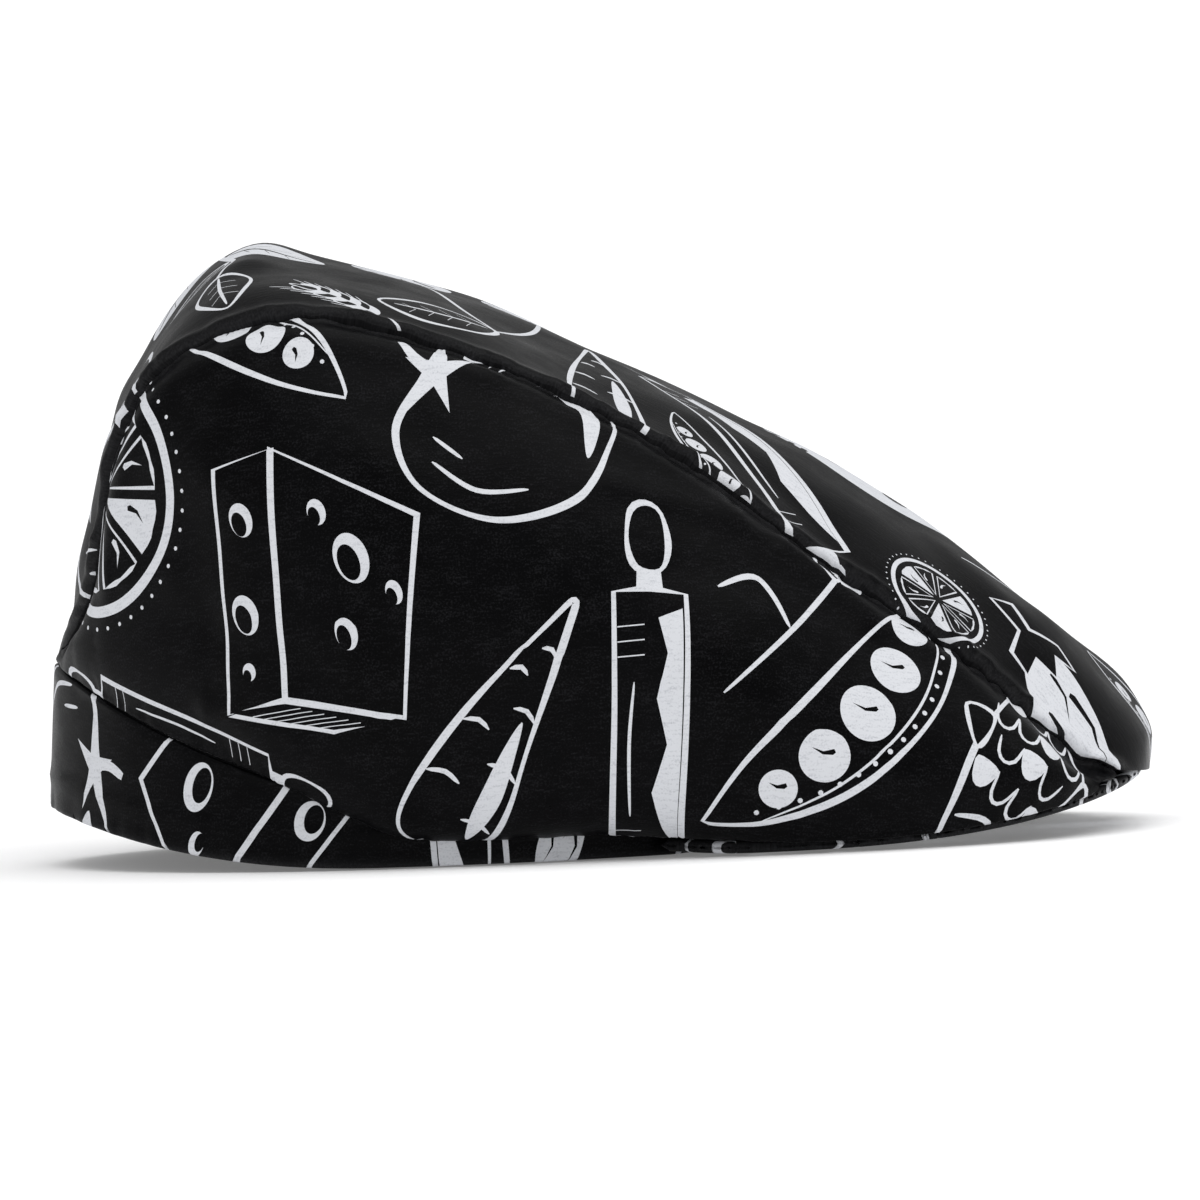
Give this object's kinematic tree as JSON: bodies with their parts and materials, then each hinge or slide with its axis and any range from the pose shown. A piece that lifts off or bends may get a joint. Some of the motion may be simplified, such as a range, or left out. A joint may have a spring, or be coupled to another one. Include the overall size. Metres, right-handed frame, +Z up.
{
  "type": "flat cap",
  "caption": "Printed cotton flat cap: top panel and two side panels over a head band, with a short peak hidden under the front of the crown.",
  "frame": {"origin": "on the surface that the cap rests on, under the middle of its bounding box", "axes": "+X to the front of the cap, towards the peak's tip; +Y to the wearer's left; +Z up"},
  "size_m": [0.2654, 0.2, 0.1449],
  "materials": {
    "printed_cotton": "black cotton with a white line print, faint satin sheen",
    "band_cotton": "the same black printed cotton, turned and stitched at the hem",
    "peak_cotton": "the same black cotton drawn over a stiff peak"
  },
  "bodies": {
    "root": {"crown_top": "printed_cotton", "crown_side_left": "printed_cotton", "crown_side_right": "printed_cotton", "band": "band_cotton", "peak": "peak_cotton"}
  },
  "joints": []
}
